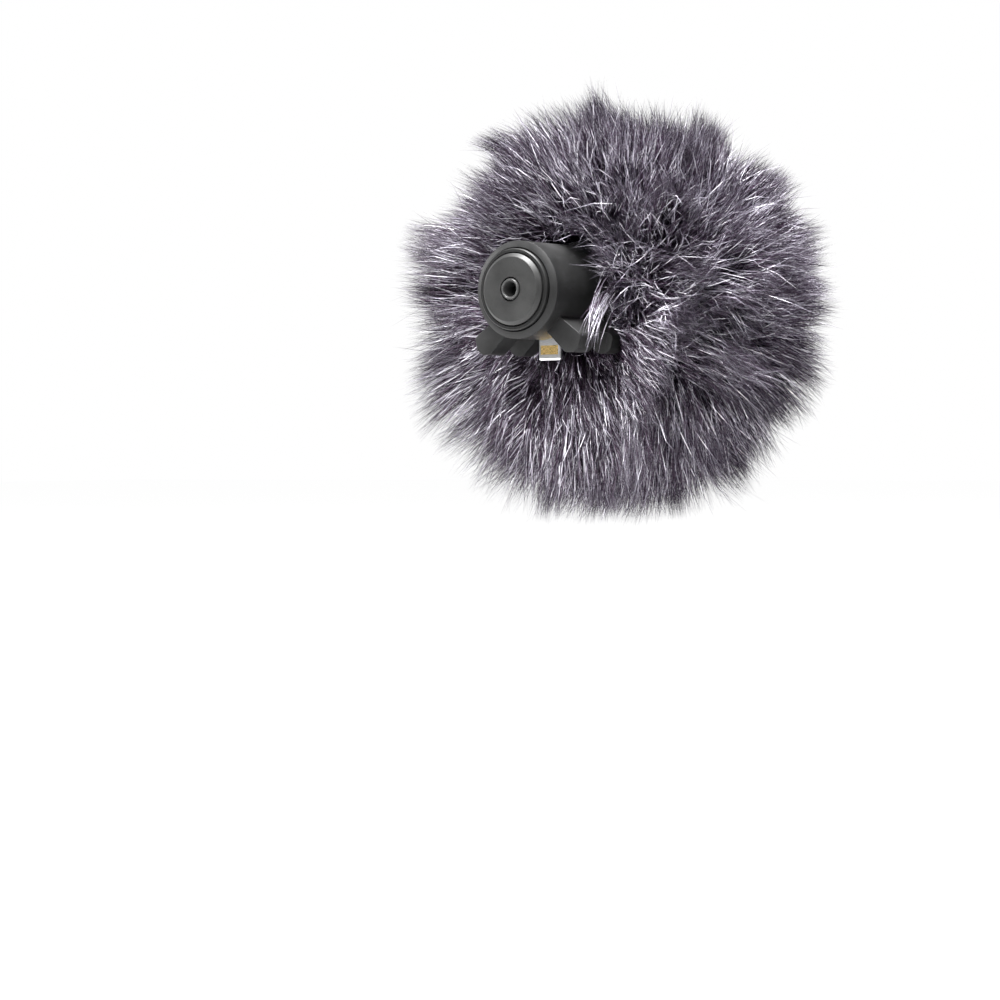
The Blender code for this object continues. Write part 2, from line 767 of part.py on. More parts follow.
def cuff_elastic():
    """Flat elastic loop inside the hem, which grips the tube."""
    inner = LINER_BORE_R + 0.8 * MM
    outer = inner + 1.2 * MM
    back, front = MOUTH_Y + 0.9 * MM, MOUTH_Y + 6.0 * MM
    turned("cuff_elastic", [(outer, front), (outer, back), (inner, back), (inner, front)], ELASTIC, SOFT_STEPS)


def fur_profile():
    """Section of the fur from its backing on the liner out to the mean tip of the pile, flat behind."""
    cuff_r = 13.5 * MM
    shoulder = 3.5 * MM
    outer = oval_profile(33.5 * MM, 46.0 * MM, PILE_R, -6 * MM, 15)
    outer = [point for point in outer if point[1] > MOUTH_Y + 2 * MM]
    inner = liner_outline(2.6 * GAP + BACKING_THICK)
    cuff_end = MOUTH_Y + 5.8 * MM
    rear = [
        (outer[-1][0] - shoulder, MOUTH_Y),
        (cuff_r, MOUTH_Y),
        (cuff_r, cuff_end),
        (inner[-1][0] - 0.2 * MM, cuff_end),
    ]
    return outer + rear + list(reversed(inner))


def fur_panels():
    """Four gores cut from one turned body, with a seam gap between neighbours."""
    profile = fur_profile()
    reach = 90 * MM
    half_gap = GAP / 2
    for number, name in enumerate(("top", "right", "bottom", "left")):
        panel = turned(f"fur_panel_{name}", profile, FUR, SOFT_STEPS, closed=False)
        wedge = box(f"gore_{name}", (0, 0, 0), (reach, reach, reach), None, CUTTERS)
        angle = math.radians(45 + 90 * number)
        wedge.rotation_euler = (0, angle - math.pi / 2, 0)
        turn = Matrix.Rotation(angle - math.pi / 2, 3, "Y")
        corner = turn @ Vector((half_gap, 0, half_gap))
        middle = turn @ Vector((reach / 2, 0, reach / 2))
        wedge.location = Vector((0, 35 * MM, AXIS_Z)) + corner + middle
        wedge.scale = (1, 2, 1)
        boolean(panel, wedge, "INTERSECT")


# ---------------------------------------------------------------- build
body_tube()
front_grille()
rear_cap()
rear_seal()
socket_ferrule()
socket_body()
socket_springs()
grille_mesh()
front_mesh()
capsule_foam()
capsule()
capsule_boot()
capsule_leads()
circuit_board()
board_components()
chassis()
board_screws()
plug_base()
plug_tab()
plug_contacts()
plug_electronics()
phone_clip()
foam_liner()
fur_backing()
cuff_band()
cuff_elastic()
fur_panels()
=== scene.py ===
"""Looks of the furry windscreen and the phone microphone it is pulled over."""

import json
import math

import bmesh
import bpy
import numpy as np
from mathutils import Matrix, Vector


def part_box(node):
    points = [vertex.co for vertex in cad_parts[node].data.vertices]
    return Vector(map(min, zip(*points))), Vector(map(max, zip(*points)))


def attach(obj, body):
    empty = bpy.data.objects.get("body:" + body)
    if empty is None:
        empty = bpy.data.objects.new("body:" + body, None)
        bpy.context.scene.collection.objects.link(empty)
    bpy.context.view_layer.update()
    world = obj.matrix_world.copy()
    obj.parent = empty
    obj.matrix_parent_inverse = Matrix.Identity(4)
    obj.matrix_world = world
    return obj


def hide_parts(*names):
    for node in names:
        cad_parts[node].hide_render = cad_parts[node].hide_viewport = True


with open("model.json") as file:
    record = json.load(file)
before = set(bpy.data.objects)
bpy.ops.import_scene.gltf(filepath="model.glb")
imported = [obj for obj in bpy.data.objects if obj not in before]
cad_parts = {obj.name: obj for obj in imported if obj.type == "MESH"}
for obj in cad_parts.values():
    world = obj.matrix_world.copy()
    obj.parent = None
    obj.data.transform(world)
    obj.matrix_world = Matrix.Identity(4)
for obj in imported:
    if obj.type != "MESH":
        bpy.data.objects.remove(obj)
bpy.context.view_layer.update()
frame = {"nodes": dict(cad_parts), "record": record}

MM = 0.001
RNG = np.random.default_rng(20)


# ---------------------------------------------------------------- places, from the CAD
def middle(node):
    low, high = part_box(node)
    return (low + high) / 2


def radius_of(node):
    low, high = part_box(node)
    return (high.x - low.x) / 2


def span_y(node):
    low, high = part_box(node)
    return low.y, high.y


AXIS_Z = middle("body_tube").z
TUBE_R = radius_of("body_tube")
TUBE_BACK, TUBE_FRONT = span_y("body_tube")
CAP_R = radius_of("rear_cap")
CAP_BACK, CAP_FRONT = span_y("rear_cap")
CLIP_BACK, CLIP_FRONT = span_y("phone_clip")
CUFF_BACK, CUFF_FRONT = span_y("cuff_band")
CUFF_R = radius_of("cuff_band")
SKIN_BACK, SKIN_FRONT = span_y("fur_backing")
SKIN_R = radius_of("fur_backing")
LINER_BACK, LINER_FRONT = span_y("foam_liner")
LINER_R = radius_of("foam_liner")


# ---------------------------------------------------------------- materials
def grey(level):
    return (level, level, level)


def new_material(name, colour, roughness, metallic=0.0, specular=0.5):
    made = bpy.data.materials.new(name)
    made.use_nodes = True
    nodes, links = made.node_tree.nodes, made.node_tree.links
    shader = nodes["Principled BSDF"]
    shader.inputs["Base Color"].default_value = (*colour, 1)
    shader.inputs["Roughness"].default_value = roughness
    shader.inputs["Metallic"].default_value = metallic
    shader.inputs["Specular IOR Level"].default_value = specular
    return made, nodes, links, shader


def object_coordinates(nodes):
    return nodes.new("ShaderNodeTexCoord").outputs["Object"]


def noise(nodes, links, where, scale, detail=3.0):
    """Cloudy noise, its scale in features to the metre."""
    made = nodes.new("ShaderNodeTexNoise")
    made.inputs["Scale"].default_value = scale
    made.inputs["Detail"].default_value = detail
    made.inputs["Roughness"].default_value = 0.55
    links.new(where, made.inputs["Vector"])
    return made.outputs["Fac"]


def math_node(nodes, operation):
    made = nodes.new("ShaderNodeMath")
    made.operation = operation
    return made


def ramp(nodes, links, factor, stops):
    made = nodes.new("ShaderNodeValToRGB")
    elements = made.color_ramp.elements
    while len(elements) < len(stops):
        elements.new(0.5)
    for element, (place, colour) in zip(elements, stops):
        element.position = place
        element.color = (*colour, 1)
    links.new(factor, made.inputs["Fac"])
    return made.outputs["Color"]


def spread(nodes, links, factor, low, high):
    made = nodes.new("ShaderNodeMapRange")
    made.inputs["To Min"].default_value = low
    made.inputs["To Max"].default_value = high
    links.new(factor, made.inputs["Value"])
    return made.outputs["Result"]


def bump(nodes, links, shader, height, strength, distance):
    made = nodes.new("ShaderNodeBump")
    made.inputs["Strength"].default_value = strength
    made.inputs["Distance"].default_value = distance
    links.new(height, made.inputs["Height"])
    links.new(made.outputs["Normal"], shader.inputs["Normal"])


def grainy(name, dark, light, roughness, metallic=0.0, grain=3500, depth=0.02 * MM, specular=0.5):
    """Matte surface with a fine grain, faint cloudy colour change and uneven roughness."""
    made, nodes, links, shader = new_material(name, light, roughness, metallic, specular)
    where = object_coordinates(nodes)
    clouds = noise(nodes, links, where, 160, 4)
    fine = noise(nodes, links, where, grain, 2)
    grain_share = 0.55
    mixed = math_node(nodes, "MULTIPLY_ADD")
    mixed.inputs[1].default_value = grain_share
    links.new(fine, mixed.inputs[0])
    links.new(clouds, mixed.inputs[2])
    colour = ramp(nodes, links, mixed.outputs[0], ((0.45, dark), (1.0, light)))
    links.new(colour, shader.inputs["Base Color"])
    rough = spread(nodes, links, clouds, max(roughness - 0.08, 0.05), min(roughness + 0.1, 1))
    links.new(rough, shader.inputs["Roughness"])
    bump(nodes, links, shader, fine, 0.6, depth)
    return made


def brushed(name, dark, light, roughness):
    """Metal with fine streaks along X."""
    made, nodes, links, shader = new_material(name, light, roughness, 1.0)
    stretch = nodes.new("ShaderNodeMapping")
    stretch.inputs["Scale"].default_value = (0.08, 1, 1)
    links.new(object_coordinates(nodes), stretch.inputs["Vector"])
    streaks = noise(nodes, links, stretch.outputs["Vector"], 12000)
    colour = ramp(nodes, links, streaks, ((0.3, dark), (0.7, light)))
    links.new(colour, shader.inputs["Base Color"])
    rough = spread(nodes, links, streaks, roughness - 0.1, roughness + 0.1)
    links.new(rough, shader.inputs["Roughness"])
    bump(nodes, links, shader, streaks, 0.2, 0.005 * MM)
    return made


def woven(name, dark, light, pitch, depth, roughness=0.9):
    """Plain weave of threads one pitch apart."""
    made, nodes, links, shader = new_material(name, light, roughness, 0, 0.3)
    where = object_coordinates(nodes)
    waves = []
    for direction in ("X", "Y", "Z"):
        wave = nodes.new("ShaderNodeTexWave")
        wave.bands_direction = direction
        wave.inputs["Scale"].default_value = math.pi / (10 * pitch)
        wave.inputs["Distortion"].default_value = 0.8
        links.new(where, wave.inputs["Vector"])
        waves.append(wave.outputs["Fac"])
    crossing = math_node(nodes, "MULTIPLY")
    links.new(waves[0], crossing.inputs[0])
    links.new(waves[1], crossing.inputs[1])
    height = math_node(nodes, "MAXIMUM")
    links.new(crossing.outputs[0], height.inputs[0])
    links.new(waves[2], height.inputs[1])
    colour = ramp(nodes, links, height.outputs[0], ((0.1, dark), (0.9, light)))
    links.new(colour, shader.inputs["Base Color"])
    bump(nodes, links, shader, height.outputs[0], 0.7, depth)
    shader.inputs["Sheen Weight"].default_value = 0.25
    return made


def porous(name, dark, light):
    """Open-cell foam: rounded pores under a matte skin."""
    made, nodes, links, shader = new_material(name, light, 0.95, 0, 0.2)
    cells = nodes.new("ShaderNodeTexVoronoi")
    cells.inputs["Scale"].default_value = 1500
    links.new(object_coordinates(nodes), cells.inputs["Vector"])
    colour = ramp(nodes, links, cells.outputs["Distance"], ((0.05, dark), (0.6, light)))
    links.new(colour, shader.inputs["Base Color"])
    bump(nodes, links, shader, cells.outputs["Distance"], 0.9, 0.25 * MM)
    return made


RUBBER = grainy(
    "clip_rubber", grey(0.003), (0.0115, 0.0115, 0.0117), 0.46, grain=4200, depth=0.04 * MM, specular=0.18
)
ANODISED = grainy("anodised", grey(0.004), grey(0.010), 0.45, grain=5200, specular=0.15)
DISC = grainy("disc_anodised", grey(0.007), (0.018, 0.018, 0.0178), 0.45, grain=5200, specular=0.22)
RIM = grainy("tube_rim", grey(0.02), grey(0.04), 0.4, metallic=0.3, grain=5200, depth=0.01 * MM)
SEAL = grainy("seal_rubber", grey(0.01), grey(0.025), 0.75)
MOULDED = grainy("moulded_plastic", grey(0.02), grey(0.045), 0.5, grain=2600)
STEEL = brushed("brushed_steel", grey(0.42), (0.68, 0.68, 0.69), 0.32)
GOLD = brushed("gold_plate", (0.80, 0.57, 0.22), (0.92, 0.70, 0.32), 0.28)
BOARD = grainy("solder_mask", (0.008, 0.055, 0.022), (0.018, 0.12, 0.045), 0.42, grain=900, depth=0.01 * MM)
CHIP = grainy("chip_epoxy", (0.012, 0.012, 0.013), (0.03, 0.03, 0.032), 0.55, grain=3000, depth=0.01 * MM)
WIRE = grainy("wire_sleeve", (0.30, 0.02, 0.015), (0.5, 0.04, 0.03), 0.5, grain=1500, depth=0.01 * MM)
GAUZE = woven("wire_gauze", grey(0.05), (0.45, 0.45, 0.46), 0.22 * MM, 0.06 * MM, 0.4)
KNIT = woven("cuff_knit", (0.006, 0.006, 0.007), (0.028, 0.027, 0.030), 0.5 * MM, 0.10 * MM)
BACKING = woven("fur_backing", (0.004, 0.003, 0.005), (0.016, 0.013, 0.018), 0.6 * MM, 0.12 * MM, 1.0)
FOAM = porous("open_foam", grey(0.004), (0.03, 0.03, 0.031))

SLOT_MATERIALS = {
    "anodised": ANODISED,
    "soft_rubber": SEAL,
    "moulded": MOULDED,
    "steel": STEEL,
    "gold": GOLD,
    "board": BOARD,
    "chip": CHIP,
    "wire": WIRE,
    "foam": FOAM,
    "elastic": SEAL,
    "knit": KNIT,
    "backing": BACKING,
    "clip_rubber": RUBBER,
}
NODE_MATERIALS = {"grille_mesh": GAUZE, "front_mesh": GAUZE, "plug_base": RUBBER}


# ---------------------------------------------------------------- making meshes
SHARP_ANGLE = math.radians(35)  # edges sharper than this stay sharp


def add_object(name, data):
    made = bpy.data.objects.new(name, data)
    bpy.context.scene.collection.objects.link(made)
    return made


def add_piece(name, mesh, surface, body, nodes):
    """A piece that rides on a body and stands for CAD nodes; surface is None if the mesh has its own."""
    made = add_object(name, mesh)
    if surface is not None:
        mesh.materials.append(surface)
    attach(made, body)
    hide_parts(*nodes)
    return made


def new_mesh(name, work):
    mesh = bpy.data.meshes.new(name)
    work.to_mesh(mesh)
    work.free()
    return mesh


def smooth(mesh):
    mesh.shade_smooth()
    mesh.set_sharp_from_angle(angle=SHARP_ANGLE)


def arc(centre, radius, start, end, steps):
    points = []
    for i in range(steps + 1):
        angle = math.radians(start + (end - start) * i / steps)
        points.append((centre[0] + radius * math.cos(angle), centre[1] + radius * math.sin(angle)))
    return points


def lathe(name, profile, steps, closed=True, wobble=None):
    """Mesh of a (radius, Y) profile turned about the microphone's axis.

    wobble(angle, i) is added to the radius of point i of the profile.
    """
    work = bmesh.new()
    rings = []
    for i, (radius, y) in enumerate(profile):
        if radius < 1e-7:
            rings.append([work.verts.new((0, y, AXIS_Z))] * steps)
            continue
        ring = []
        for k in range(steps):
            angle = 2 * math.pi * k / steps
            r = radius + (wobble(angle, i) if wobble else 0)
            ring.append(work.verts.new((r * math.cos(angle), y, AXIS_Z + r * math.sin(angle))))
        rings.append(ring)
    pairs = list(zip(rings, rings[1:]))
    if closed:
        pairs.append((rings[-1], rings[0]))
    for near, far in pairs:
        for k in range(steps):
            j = (k + 1) % steps
            face = list(dict.fromkeys([near[k], near[j], far[j], far[k]]))
            if len(face) > 2:
                work.faces.new(face)
    bmesh.ops.recalc_face_normals(work, faces=work.faces)
    mesh = new_mesh(name, work)
    smooth(mesh)
    return mesh


def bevel(made, width, segments, angle):
    step = made.modifiers.new("soft_edges", "BEVEL")
    step.width = width
    step.segments = segments
    step.limit_method = "ANGLE"
    step.angle_limit = math.radians(angle)
    return step


def soften(made, width, segments=3, angle=30):
    bevel(made, width, segments, angle).harden_normals = True


def apply_modifiers(made):
    """Puts the mesh that its modifiers make in the place of an object's own."""
    bpy.context.view_layer.update()
    result = bpy.data.meshes.new_from_object(made.evaluated_get(bpy.context.evaluated_depsgraph_get()))
    made.modifiers.clear()
    before = made.data
    made.data = result
    bpy.data.meshes.remove(before)


def combine(made, other, operation):
    """Joins another object to a piece, or cuts it out of it, for good and removes the other object."""
    step = made.modifiers.new("combine", "BOOLEAN")
    step.operation = operation
    step.object = other
    apply_modifiers(made)
    bpy.data.objects.remove(other)


def carve(made, cutter):
    combine(made, cutter, "DIFFERENCE")
    smooth(made.data)


def slot_cutter(name, width, length, height, places, steps=16):
    """Upright round-ended prisms, one for each placing matrix, their length along local Y."""
    work = bmesh.new()
    for place in places:
        made = bmesh.ops.create_cone(
            work, cap_ends=True, segments=steps, radius1=width / 2, radius2=width / 2, depth=height
        )
        for vert in made["verts"]:
            vert.co.y += math.copysign((length - width) / 2, vert.co.y)
        bmesh.ops.transform(work, matrix=place, verts=made["verts"])
    return add_object(name, new_mesh(name, work))


def box_cutter(name, low, high):
    work = bmesh.new()
    bmesh.ops.create_cube(work, size=1.0)
    low, high = Vector(low), Vector(high)
    bmesh.ops.scale(work, vec=high - low, verts=work.verts)
    bmesh.ops.translate(work, vec=(low + high) / 2, verts=work.verts)
    return add_object(name, new_mesh(name, work))


# ---------------------------------------------------------------- microphone
ROUND_STEPS = 160  # flats round the tube, its two ends and the clip's bore
THROUGH = 4 * MM  # height of a cutter that goes right through a wall
LAID_DOWN = Matrix.Rotation(math.pi / 2, 4, "X")  # turns an upright cutter along the microphone


def build_tube():
    """Tube with two rings of sound slots, and a window for the plug."""
    wall = 0.9 * MM
    chamfer = 0.25 * MM
    profile = [
        (TUBE_R - wall, TUBE_FRONT),
        (TUBE_R, TUBE_FRONT),
        (TUBE_R, TUBE_BACK + chamfer),
        (TUBE_R - chamfer, TUBE_BACK),
        (TUBE_R - wall, TUBE_BACK),
    ]
    mesh = lathe("tube_shell", profile, ROUND_STEPS)
    tube = add_piece("tube_shell", mesh, ANODISED, "microphone", ["body_tube"])

    ring_places = (32.5 * MM, 43.0 * MM)
    per_ring = 12
    slot_width, slot_length = 1.8 * MM, 8.6 * MM
    places = []
    for ring, y in enumerate(ring_places):
        for i in range(per_ring):
            angle = 2 * math.pi * (i + 0.5 * ring) / per_ring
            centre = Matrix.Translation((0, y, AXIS_Z))
            places.append(centre @ Matrix.Rotation(angle, 4, "Y") @ Matrix.Translation((0, 0, TUBE_R)))
    carve(tube, slot_cutter("tube_slots", slot_width, slot_length, THROUGH, places))

    along, across = 7.0 * MM, 12.2 * MM
    window = [Matrix.Translation((0, 0, 1 * MM)) @ Matrix.Rotation(math.pi / 2, 4, "Z")]
    carve(tube, slot_cutter("tube_window", along, across, 6 * MM, window, 32))
    soften(tube, 0.12 * MM, 2)


def build_grille():
    """End cap with a rounded rim, a spigot into the tube and rings of holes in its face."""
    low, high = span_y("front_grille")
    rim = 1.3 * MM
    face = 1.7 * MM
    seat = TUBE_FRONT + 0.3 * MM
    spigot_r = TUBE_R - 1.2 * MM
    spigot_wall = 0.8 * MM
    profile = [(0, high)]
    profile += arc((TUBE_R - rim, high - rim), rim, 90, 0, 8)
    profile += [
        (TUBE_R, seat),
        (spigot_r, seat),
        (spigot_r, low),
        (spigot_r - spigot_wall, low),
        (spigot_r - spigot_wall, high - face),
        (0, high - face),
    ]
    mesh = lathe("grille_cap", profile, ROUND_STEPS, closed=False)
    cap = add_piece("grille_cap", mesh, ANODISED, "microphone", ["front_grille"])

    hole, pitch = 1.7 * MM, 2.7 * MM
    places = []
    for ring in range(3):
        count = max(1, 6 * ring)
        for i in range(count):
            angle = 2 * math.pi * i / count
            reach = pitch * ring
            shift = (reach * math.cos(angle), high - 1 * MM, AXIS_Z + reach * math.sin(angle))
            places.append(Matrix.Translation(shift) @ LAID_DOWN)
    carve(cap, slot_cutter("grille_holes", hole, hole, THROUGH, places, 24))
    soften(cap, 0.1 * MM, 2)


def build_rear():
    """Disc at the back, and the collar of the headphone socket in its middle."""
    ferrule_r = radius_of("socket_ferrule")
    ferrule_back, ferrule_front = span_y("socket_ferrule")
    hole_r = ferrule_r + 0.3 * MM
    chamfer = 0.9 * MM
    profile = [
        (CAP_R, CAP_FRONT),
        (CAP_R, CAP_BACK + chamfer),
        (CAP_R - chamfer, CAP_BACK),
        (hole_r, CAP_BACK),
        (hole_r, CAP_FRONT),
    ]
    mesh = lathe("rear_disc", profile, ROUND_STEPS)
    soften(add_piece("rear_disc", mesh, DISC, "microphone", ["rear_cap"]), 0.14 * MM)

    bore_r = 1.85 * MM
    lip = 0.25 * MM
    profile = [
        (ferrule_r, ferrule_front),
        (ferrule_r, ferrule_back + 2 * lip),
        (ferrule_r - lip, ferrule_back),
        (bore_r + lip, ferrule_back),
        (bore_r, ferrule_back + 2 * lip),
        (bore_r, ferrule_front),
    ]
    mesh = lathe("socket_collar", profile, 96)
    soften(add_piece("socket_collar", mesh, RIM, "microphone", ["socket_ferrule"]), 0.08 * MM)


# ---------------------------------------------------------------- phone clip
CHANNEL = 3.95 * MM  # half the width of the gap that takes the phone
LEG_BACK = -CHANNEL - 6.3 * MM


def rounded_outline(corners, steps=10):
    """Outline points from (x, z, radius) corners, each corner rounded by an arc of its radius."""
    outline = []
    count = len(corners)
    for i, (x, z, radius) in enumerate(corners):
        here = Vector((x, z))
        to_last = (Vector(corners[i - 1][:2]) - here).normalized()
        to_next = (Vector(corners[(i + 1) % count][:2]) - here).normalized()
        half = to_last.angle(to_next) / 2
        centre = here + (to_last + to_next).normalized() * radius / math.sin(half)
        reach = radius / math.tan(half)
        first = here + to_last * reach - centre
        turn = first.angle_signed(here + to_next * reach - centre)
        for step in range(steps + 1):
            outline.append(centre + Matrix.Rotation(-turn * step / steps, 2) @ first)
    return outline


def prism(name, outline, low_y, high_y):
    work = bmesh.new()
    near = [work.verts.new((x, low_y, z)) for x, z in outline]
    far = [work.verts.new((x, high_y, z)) for x, z in outline]
    count = len(outline)
    for i in range(count):
        j = (i + 1) % count
        work.faces.new((near[i], near[j], far[j], far[i]))
    work.faces.new(near)
    work.faces.new(far)
    bmesh.ops.recalc_face_normals(work, faces=work.faces)
    return add_object(name, new_mesh(name, work))


def clip_leg(side):
    """The near and the far leg of one side in one, until the phone's channel parts them."""
    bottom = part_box("phone_clip")[0].z
    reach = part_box("phone_clip")[1].x
    corners = [
        (7.3 * MM, -1.2 * MM, 0.3 * MM),
        (11.4 * MM, bottom, 2.4 * MM),
        (15.0 * MM, bottom, 2.6 * MM),
        (reach, -1.0 * MM, 1.4 * MM),
        (9.9 * MM, 3.6 * MM, 0.3 * MM),
        (5.0 * MM, 6.0 * MM, 0.1 * MM),
        (5.0 * MM, 1.0 * MM, 0.1 * MM),
    ]
    if side < 0:
        corners = [(-x, z, radius) for x, z, radius in reversed(corners)]
    leg = prism(f"leg_{side}", rounded_outline(corners), LEG_BACK, CLIP_FRONT - 0.2 * MM)
    bevel(leg, 0.45 * MM, 3, 50)
    apply_modifiers(leg)
    return leg


def build_clip():
    """Collar and legs in one body, cut by the tube's bore, the phone's channel and the plug's way."""
    outer_r = 12.1 * MM
    front_edge = 0.5 * MM
    chamfer = 1.6 * MM
    profile = [
        (0, CLIP_FRONT),
        (outer_r - front_edge, CLIP_FRONT),
        (outer_r, CLIP_FRONT - front_edge),
        (outer_r, CLIP_BACK + chamfer * 0.55),
        (outer_r - chamfer, CLIP_BACK),
        (0, CLIP_BACK),
    ]
    mesh = lathe("clip_body", profile, 192, closed=False)
    clip = add_piece("clip_body", mesh, RUBBER, "phone_clip_body", ["phone_clip"])
    for side in (-1, 1):
        combine(clip, clip_leg(side), "UNION")

    bore = 2 * (TUBE_R + 0.3 * MM)
    bore_place = Matrix.Translation((0, 0, AXIS_Z)) @ LAID_DOWN
    carve(clip, slot_cutter("clip_bore", bore, bore, 60 * MM, [bore_place], ROUND_STEPS))
    far = 40 * MM
    carve(clip, box_cutter("channel", (-far, -CHANNEL, -far), (far, CHANNEL, 0)))
    way, way_top = 6.4 * MM, AXIS_Z - 5 * MM
    carve(clip, box_cutter("way", (-way, -CHANNEL, -far), (way, far, way_top)))
    soften(clip, 0.16 * MM, 2, 40)


# ---------------------------------------------------------------- windscreen: cuff, foam and backing
def build_cuff():
    """Ribbed hem: a rolled edge at the mouth and fine ribs along the tube."""
    ribs, rib_depth = 84, 0.16 * MM
    rows, roll_steps = 14, 12
    roll = 1.2 * MM
    ripple = 0.15 * MM
    inner, outer = TUBE_R + 0.35 * MM, CUFF_R
    straight = CUFF_FRONT - CUFF_BACK - roll
    profile = []
    for i in range(rows + 1):
        share = i / rows
        profile.append((outer - ripple * math.cos(math.pi * 4 * share), CUFF_FRONT - share * straight))
    roll_centre = ((inner + outer) / 2, CUFF_BACK + roll)
    profile += arc(roll_centre, (outer - inner) / 2 - 0.05 * MM, 0, -180, roll_steps)
    for i in range(rows + 1):
        profile.append((inner, CUFF_BACK + roll + i / rows * straight))
    profile = [(r, max(y, CUFF_BACK)) for r, y in profile]
    inside_from = rows + 1 + roll_steps // 2

    def rib(angle, i):
        depth = rib_depth if i < inside_from else 0.0
        return -depth * (0.5 + 0.5 * math.cos(ribs * angle)) ** 2

    mesh = lathe("cuff_rib", profile, ribs * 6, wobble=rib)
    add_piece("cuff_rib", mesh, KNIT, "windscreen", ["cuff_band"])


BARREL_Y = 38.0 * MM  # widest place of the foam and of the backing
SQUARENESS = 2.6  # 2 gives a half ellipse, more gives a squarer end


def barrel(half, radius, start_y, steps):
    """Points (radius, Y) of a rounded barrel, from its tip, half in front of BARREL_Y, back to start_y."""
    points = []
    low = math.asin(max(-1.0, (start_y - BARREL_Y) / half))
    for i in range(steps + 1):
        angle = math.pi / 2 + (low - math.pi / 2) * i / steps
        along, out = math.sin(angle), math.cos(angle)
        share = (abs(along) ** SQUARENESS + abs(out) ** SQUARENESS) ** (-1 / SQUARENESS)
        points.append((abs(out) * share * radius, BARREL_Y + along * share * half))
    points[0] = (0, BARREL_Y + half)
    return [p for p in points if p[1] > start_y]


def build_liner():
    """Foam sleeve with a closed front and a slightly uneven surface."""
    outer = barrel(LINER_FRONT - BARREL_Y, LINER_R, LINER_BACK, 40)
    bore = TUBE_R + 0.3 * MM
    bore_end = span_y("front_grille")[1] + 0.5 * MM
    profile = outer + [(outer[-1][0], LINER_BACK), (bore, LINER_BACK), (bore, bore_end), (0, bore_end)]
    height, inset = 0.05 * MM, 0.06 * MM

    def pits(angle, i):
        return height * math.sin(37 * angle + 5.1 * i) * math.sin(23 * angle - 3.3 * i) - inset

    mesh = lathe("foam_body", profile, 120, closed=False, wobble=pits)
    add_piece("foam_body", mesh, FOAM, "windscreen", ["foam_liner"])


def build_skin():
    """Woven sack under the pile."""
    half = SKIN_FRONT - BARREL_Y
    outer = barrel(half, SKIN_R, SKIN_BACK, 60)
    inner = barrel(half - 0.6 * MM, SKIN_R - 0.5 * MM, SKIN_BACK, 60)
    profile = outer + list(reversed(inner))
    depth = 0.12 * MM

    def puckers(angle, i):
        return depth * math.sin(9 * angle + 0.7 * i) * math.sin(0.31 * i) - depth

    mesh = lathe("pile_backing", profile, 128, closed=False, wobble=puckers)
    add_piece("pile_backing", mesh, BACKING, "windscreen", ["fur_backing"])


# ---------------------------------------------------------------- windscreen: fur, in millimetres
LENGTH_STEPS = 6  # straight pieces that each fibre is made of, root to tip
ALONG = np.linspace(0, 1, LENGTH_STEPS + 1)[None, :, None]  # share of the way along, at each point
ZONES = 5  # colour zones along a fibre
ZONE_OF_STEP = (0, 0, 1, 2, 3, 4)
TUFTS = 330
TUFT_R = 6.5  # clumps this far from the middle of their tuft are the shortest
CLUMPS = 3600
BODY_FIBRES = 66000
GUARD_FIBRES = 21000
UNDER_FIBRES = 15000
FULL_LENGTH = 33  # of a fibre that leans and bends by the whole of the amounts below
LONGEST = 1.05  # of the way from the root line to the tip line
AXIS_HEIGHT = AXIS_Z / MM
CLIP_END = CLIP_FRONT / MM

# What differs between the kinds of fibre: some of the guard hairs are wild, and the underfur is short
WILD, GUARD, UNDER, BODY = range(4)
WILD_SHARE = 0.16
STRAY = (7.0, 3.3, 1.4, 1.4)
BEND = (5.5, 3.2, 1.8, 1.8)
CURL = (1.3, 0.8, 0.5, 0.5)
FLICK = (4.0, 2.4, 1.2, 1.1)
LEAST_WIDTH = (0.13, 0.18, 0.15, 0.13)
MORE_WIDTH = (0.08, 0.11, 0.0, 0.07)
LIGHTER = (1.4, 1.8, -1.8, -0.32)

# Stations from the front tip to the mouth: (root radius, root Y, tip radius, tip Y)
STATIONS = np.array(
    [
        (0.2, 66.0, 0.3, 88.0),
        (7.5, 65.3, 17.0, 86.0),
        (13.5, 62.0, 33.5, 78.5),
        (17.5, 56.5, 45.5, 66.5),
        (19.6, 49.0, 52.5, 50.5),
        (20.2, 41.0, 55.3, 34.0),
        (20.0, 33.5, 55.6, 20.0),
        (19.4, 27.0, 54.0, 8.0),
        (18.2, 21.5, 49.5, -1.5),
        (16.4, 17.5, 42.0, -5.5),
        (14.8, 14.5, 32.5, -7.0),
        (13.9, 12.0, 23.5, -6.0),
        (13.6, 10.0, 15.6, -2.2),
    ]
)
ROOT_LINE, TIP_LINE = STATIONS[:, :2], STATIONS[:, 2:]
FRONT_END = 0.52  # of the root line, where the front pieces of the pile give way to the back ones


def outline_at(line, t):
    """(radius, Y) at parameter t from 0 to 1 on a line of points, rounded by a cubic through them."""
    count = len(line) - 1
    place = np.clip(t, 0, 1) * count
    i = np.clip(place.astype(int), 0, count - 1)
    f = (place - i)[:, None]
    before, here = line[np.maximum(i - 1, 0)], line[i]
    after, beyond = line[np.minimum(i + 1, count)], line[np.minimum(i + 2, count)]
    return 0.5 * (
        2 * here
        + (after - before) * f
        + (2 * before - 5 * here + 4 * after - beyond) * f**2
        + (3 * here - before - 3 * after + beyond) * f**3
    )


def turned(point, angle):
    """Directions from (radius, Y) and the angle round the axis."""
    return np.stack([point[:, 0] * np.cos(angle), point[:, 1], point[:, 0] * np.sin(angle)], axis=1)


def around(point, angle):
    """World points from (radius, Y) and the angle round the axis."""
    return turned(point, angle) + (0, 0, AXIS_HEIGHT)


